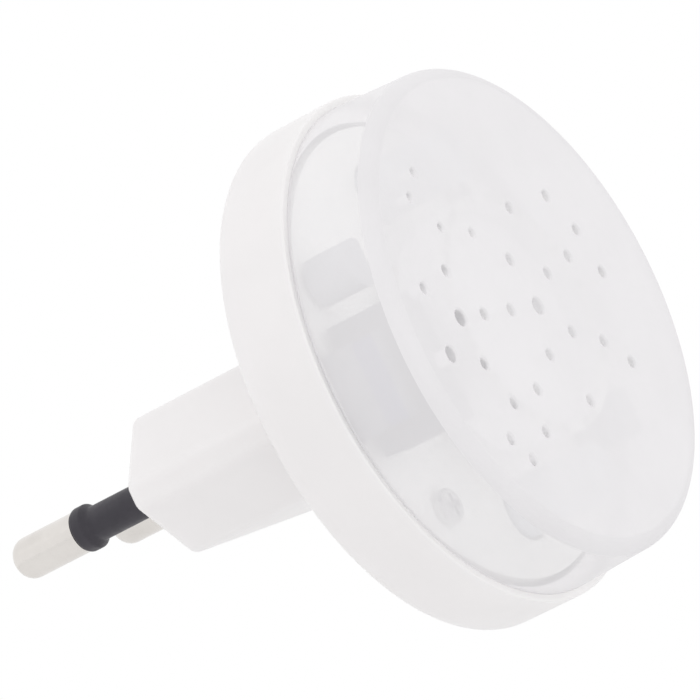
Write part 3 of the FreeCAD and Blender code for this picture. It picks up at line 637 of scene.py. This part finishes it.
class CapZone(Enum):
    """Zones of the cap's surface, by the names of their finishes."""

    FACE = "cap_frosted"
    SIDE = "cap_side"
    EDGE = "cap_edge"                # corner, rims of the holes and the seat in the cup
    # the posts' zone carries painted shade: their own frosted plastic drawn darker
    POST = "cap_post"
    INSIDE = "cap_inside"


@dataclass
class FrontCap:
    """Frosted cap with a flat pierced face and two screw posts behind it."""

    fastening: Fastening
    seat_radius: float
    front: float
    seat: float = 26.2
    seat_end: float = 28.0           # where the draft begins, past the cup's lip
    wall: float = 1.4
    face: float = 1.4
    draft: float = 0.5
    corner_round: float = 1.4
    inner_round: float = 0.7
    skin_margin: float = 0.01        # within which a point counts as on the inner skin
    face_margin: float = 0.0005      # and on the flat front
    post_radius: float = 2.75
    bore_end: float = 34.9
    mouth: float = 0.28              # rounding of each hole's rim
    rim_lift: float = 0.003          # of that rounding's end off the face
    hole_turns: int = 32
    hole: float = 1.0
    fine_hole: float = 0.75
    wide_hole: float = 1.5
    turn: float = -5.0               # degrees that the rings of holes are turned
    # ring radius, places round it, pierced places
    rings: tuple = (
        (4.9, 5, (0, 1, 2, 3, 4)),
        (9.7, 7, (0, 1, 2, 3, 4, 5, 6)),
        (13.8, 19, (0, 1, 2, 7, 8, 9, 11, 16, 17, 18)),
        (18.1, 36, (1, 4, 5, 31, 32, 35)),
    )
    wide_places: tuple = ((13.8, 0), (18.1, 35))
    fine_places: tuple = ((9.7, 1), (13.8, 2), (18.1, 4), (18.1, 5))

    def shell(self) -> bmesh.types.BMesh:
        """The cap without holes and posts."""
        inside = self.seat_radius - self.wall
        back = self.front - self.face
        return lathe([
            (0, self.front),
            (self.seat_radius - self.draft, self.front, self.corner_round),
            (self.seat_radius, self.seat_end),
            (self.seat_radius, self.seat),
            (inside, self.seat),
            (inside - self.draft, back, self.inner_round),
            (0, back),
        ], TURNS)

    def holes(self) -> list[tuple[float, float, float]]:
        """The sound holes.

        Returns:
            Across, up and diameter of each.
        """
        found = [(0.0, 0.0, self.wide_hole)]
        for ring, places, pierced in self.rings:
            for place in pierced:
                angle = math.radians(180 + self.turn - place * 360 / places)
                size = self.hole
                if (ring, place) in self.wide_places:
                    size = self.wide_hole
                elif (ring, place) in self.fine_places:
                    size = self.fine_hole
                found.append((ring * math.cos(angle), ring * math.sin(angle), size))
        return found

    def hole_cutter(self, size: float) -> bmesh.types.BMesh:
        """What is cut away for one sound hole, with its rounded mouth."""
        radius = size / 2
        rim = self.front + self.rim_lift
        low = self.front - self.face - PAST
        return lathe([
            (0, low),
            (radius, low),
            (radius, rim, self.mouth),
            (radius + self.mouth, rim),
            (radius + self.mouth, rim + PAST),
            (0, rim + PAST),
        ], self.hole_turns)

    def zone_of(self, place: Vector) -> CapZone:
        """Zone of the surface that a point lies on."""
        near = self.skin_margin
        inside = self.seat_radius - self.wall
        back = self.front - self.face
        radius = place.xy.length
        if place.z > self.front - self.face_margin:
            return CapZone.FACE
        if place.z > back + near:
            return CapZone.EDGE
        if radius > inside + near:
            return CapZone.EDGE if place.z < self.seat_end else CapZone.SIDE
        if place.z > back - near or radius > inside - self.draft - self.inner_round - near:
            return CapZone.INSIDE
        return CapZone.POST

    def build(self, paint: Paintwork) -> bpy.types.Object:
        """Builds the cap and dresses each zone of its surface.

        Args:
            paint: where the finishes of the zones come from.

        Returns:
            The finished piece.
        """
        fix = self.fastening
        piece = as_piece("frosted_front_cap", self.shell())
        into = self.front - self.face / 2
        posts = []
        for x, y in fix.places():
            posts.append(moved(bar(self.post_radius, fix.pillar_top, into), at(x, y)))
        combine(piece, gathered(posts), Join.ADD)
        cutters = [moved(self.hole_cutter(size), at(x, y)) for x, y, size in self.holes()]
        for x, y in fix.places():
            bore = bar(fix.shank_radius, fix.pillar_top - 2 * PAST, self.bore_end)
            cutters.append(moved(bore, at(x, y)))
        combine(piece, gathered(cutters), Join.CUT)
        finish_piece(piece, paint.of(CapZone.FACE.value), "cap_frosted", "front_cap")
        zones = list(CapZone)
        for zone in zones[1:]:
            piece.data.materials.append(paint.of(zone.value))
        standing = LAID.inverted()
        for polygon in piece.data.polygons:
            polygon.material_index = zones.index(self.zone_of(standing @ polygon.center))
        piece.visible_shadow = False
        piece.visible_diffuse = False
        return piece


@dataclass
class CaseScrews:
    """The two cross-head screws that hold the case together, seen in their recesses."""

    fastening: Fastening
    slot_width: float = 0.8
    slot_span: float = 3.2
    slot_depth: float = 0.6          # share of the head's height
    dome: float = 0.75               # rounding of the head's top, as a share of its height
    head_soft: float = 0.15          # rounding under the head
    first_turn: float = 25.0         # degrees that the first screw's cross is turned
    next_turn: float = 40.0          # and how much further the other one's is

    def screw(self) -> bpy.types.Object:
        """One screw on the axis, with its cross cut into the head."""
        fix = self.fastening
        top = fix.seat - fix.head_height
        tip = fix.seat + fix.length
        body = lathe([
            (0, top),
            (fix.head_radius, top, self.dome * fix.head_height),
            (fix.head_radius, fix.seat, self.head_soft),
            (fix.shank_radius, fix.seat),
            (fix.shank_radius, tip - fix.shank_radius),
            (fix.shank_radius / 4, tip),
            (0, tip),
        ])
        piece = as_piece("screw", body)
        depth = top + self.slot_depth * fix.head_height
        for width, height in ((self.slot_width, self.slot_span), (self.slot_span, self.slot_width)):
            combine(piece, brick(width, height, top - 2 * PAST, depth), Join.CUT)
        return piece

    def build(self, material: bpy.types.Material) -> bpy.types.Object:
        """Builds and dresses both screws.

        Args:
            material: their finish.

        Returns:
            The finished piece.
        """
        master = self.screw()
        copies = []
        for number, (x, y) in enumerate(self.fastening.places()):
            mesh = bmesh.new()
            mesh.from_mesh(master.data)
            angle = math.radians(self.first_turn + self.next_turn * number)
            copies.append(moved(mesh, at(x, y) @ Matrix.Rotation(angle, 4, "Z")))
        bpy.data.meshes.remove(master.data)
        piece = as_piece("case_screw_pair", gathered(copies))
        finish_piece(piece, material, "screw_steel", "case_screws")
        return piece


# ---- the plug's pins --------------------------------------------------------------------
@dataclass
class PlugPins:
    """The two pins with their insulating sleeves, in millimetres."""

    spacing: float = 18.6
    toe_in: float = 1.5              # degrees that each pin leans towards the other
    radius: float = 2.0
    length: float = 19.0
    tip_round: float = 1.5
    neck: float = 1.3
    flange: float = 2.6
    flange_start: float = 2.1
    flange_end: float = 3.1
    tail_end: float = 8.1
    sleeve_length: float = 11.2
    sleeve_radius: float = 1.7
    collar_radius: float = 2.18
    collar_length: float = 1.3
    collar_round: float = 0.4
    collar_slope: float = 0.6        # length of the step down from the collar to the waist
    waist_round: float = 0.5
    flare_radius: float = 2.3
    flare_length: float = 1.7
    fit: float = 0.1
    turns: int = 96

    def lean(self, side: Side) -> Matrix:
        """Place and lean of one pin."""
        turn = Matrix.Rotation(math.radians(side.value * self.toe_in), 4, "Y")
        return at(side.value * self.spacing / 2, 0) @ turn

    def bore(self) -> float:
        """Radius of the hole in the plug's end wall."""
        return self.flare_radius + self.fit / 2

    def pin(self) -> bmesh.types.BMesh:
        """Solid pin: round tip, neck for the sleeve, flange and tail."""
        return lathe([
            (0, -self.length),
            (self.radius, -self.length, self.tip_round),
            (self.radius, -self.sleeve_length),
            (self.neck, -self.sleeve_length),
            (self.neck, self.flange_start),
            (self.flange, self.flange_start),
            (self.flange, self.flange_end),
            (self.neck, self.flange_end),
            (self.neck, self.tail_end),
            (0, self.tail_end),
        ], self.turns)

    def sleeve(self) -> bmesh.types.BMesh:
        """Sleeve with a proud collar, a waist and a flare that meets the plug."""
        collar_end = self.collar_length - self.sleeve_length
        spread = self.flare_radius - self.sleeve_radius
        flare = []
        for step in range(ARC_STEPS + 1):
            share = step / ARC_STEPS
            flare.append((self.sleeve_radius + spread * share ** 2, (share - 1) * self.flare_length))
        return lathe([
            (self.neck, -self.sleeve_length),
            (self.collar_radius, -self.sleeve_length, self.collar_round),
            (self.collar_radius, collar_end, self.collar_round),
            (self.sleeve_radius, collar_end + self.collar_slope, self.waist_round),
            *flare,
            (self.flare_radius, self.flange_start),
            (self.neck, self.flange_start),
        ], self.turns, ring=True)

    def build(self, metal: bpy.types.Material, insulation: bpy.types.Material) -> None:
        """Builds and dresses both pins and both sleeves.

        Args:
            metal: the pins' finish.
            insulation: the sleeves' finish.
        """
        for side in Side:
            name = side.name.lower()
            pin = as_piece("contact_pin_" + name, moved(self.pin(), self.lean(side)))
            finish_piece(pin, metal, "nickel", "plug_pin_" + name)
            sleeve = as_piece("insulating_sleeve_" + name, moved(self.sleeve(), self.lean(side)))
            finish_piece(sleeve, insulation, "sleeve_black", "pin_sleeve_" + name)


# ---- the studio -------------------------------------------------------------------------
@dataclass(frozen=True)
class Viewpoint:
    """Camera that looks at the pierced face from its left, a little rolled."""

    turn: float = 60.07              # degrees that the face is turned from the camera
    tilt: float = 27.32              # degrees that its axis rises in the view
    roll: float = -4.44              # degrees that the case is turned about its axis
    distance: float = 0.700
    right: float = -0.01149          # of the origin from the middle of the view
    up: float = -0.01067
    lens: float = 392.17             # millimetres
    sensor: float = 36.0             # width, in millimetres

    def axes(self) -> Matrix:
        """The object's axes as the camera sees them, one in each column."""
        tilt, turn, roll = (math.radians(angle) for angle in (self.tilt, self.turn, self.roll))
        along = Vector((math.cos(tilt), math.sin(tilt), 0))
        across = Vector((-math.sin(tilt), math.cos(tilt), 0))
        towards = Vector((0, 0, 1))
        facing = math.sin(turn) * along + math.cos(turn) * towards
        level = math.cos(turn) * along - math.sin(turn) * towards
        x_axis = math.cos(roll) * level + math.sin(roll) * across
        z_axis = math.cos(roll) * across - math.sin(roll) * level
        return Matrix((x_axis, -facing, z_axis)).transposed()

    def build(self) -> None:
        """Puts the camera into the scene."""
        data = bpy.data.cameras.new("camera")
        data.lens = self.lens
        data.sensor_width = self.sensor
        data.clip_start = 0.01
        data.clip_end = 50
        camera = bpy.data.objects.new("camera", data)
        to_object = self.axes().transposed()
        stand = to_object @ Vector((-self.right, -self.up, self.distance))
        camera.matrix_world = Matrix.Translation(stand) @ to_object.to_4x4()
        bpy.context.scene.collection.objects.link(camera)
        bpy.context.scene.camera = camera


@dataclass(frozen=True)
class Lamp:
    """Soft square light that looks at the object."""

    name: str
    stand: Colour                    # where it is, in metres
    size: float = 0.5                # of its side, in metres
    power: float = 0.3               # in watts

    def build(self) -> None:
        """Puts the light into the scene."""
        data = bpy.data.lights.new(self.name, "AREA")
        data.size = self.size
        data.energy = self.power
        light = bpy.data.objects.new(self.name, data)
        stand = Vector(self.stand)
        look = (-stand).to_track_quat("-Z", "Y").to_matrix().to_4x4()
        light.matrix_world = Matrix.Translation(stand) @ look
        bpy.context.scene.collection.objects.link(light)


@dataclass
class Studio:
    """Pale floor, white surroundings and soft lights."""

    floor_drop: float = 0.12         # of the floor below the plug's axis
    floor_reach: float = 2.0
    paint: Finish = Finish(grey(0.92), grey(0.91), (0.6, 0.75), 0.2, 0.004, 0.00005, 0.2)
    white: float = 1.0               # of the surroundings
    lamps: tuple[Lamp, ...] = (
        Lamp("key_light", (-0.5, 0.2, 0.7), power=0.25),
        Lamp("fill_light", (-0.3, -0.6, -0.08), power=0.35),
    )

    def floor(self) -> None:
        """Plain pale floor under the object."""
        mesh = bmesh.new()
        bmesh.ops.create_grid(mesh, x_segments=8, y_segments=8, size=self.floor_reach,
                              matrix=at(0, 0, -self.floor_drop))
        piece = as_piece("studio_floor", mesh)
        piece.data.materials.append(self.paint.material("floor_paint"))

    def surroundings(self) -> None:
        """Even white light from all round."""
        world = bpy.data.worlds.new("surroundings")
        world.use_nodes = True
        background = world.node_tree.nodes["Background"]
        background.inputs["Color"].default_value = (1, 1, 1, 1)
        background.inputs["Strength"].default_value = self.white
        bpy.context.scene.world = world

    def build(self) -> None:
        """Builds the floor, the surroundings and the lights, and sets a plain tone curve."""
        self.floor()
        self.surroundings()
        for lamp in self.lamps:
            lamp.build()
        bpy.context.scene.view_settings.view_transform = "Standard"


def main() -> None:
    """Builds the object piece by piece, then the studio round it."""
    paint = Paintwork()
    paint.dress_cad_nodes()
    pins = PlugPins()
    fastening = Fastening()
    rear = RearHousing(fastening, half_width("rear_housing"), front_of("rear_housing"))
    rear.build(paint.of("case_white"), pins)
    cap = FrontCap(fastening, half_width("front_cap") + LIP_FILL, front_of("front_cap"))
    cap.build(paint)
    CaseScrews(fastening).build(paint.of("screw_steel"))
    pins.build(paint.of("nickel"), paint.of("sleeve_black"))
    Viewpoint().build()
    Studio().build()


if __name__ == "__main__":
    logging.basicConfig(level=logging.INFO, format="%(message)s")
    main()
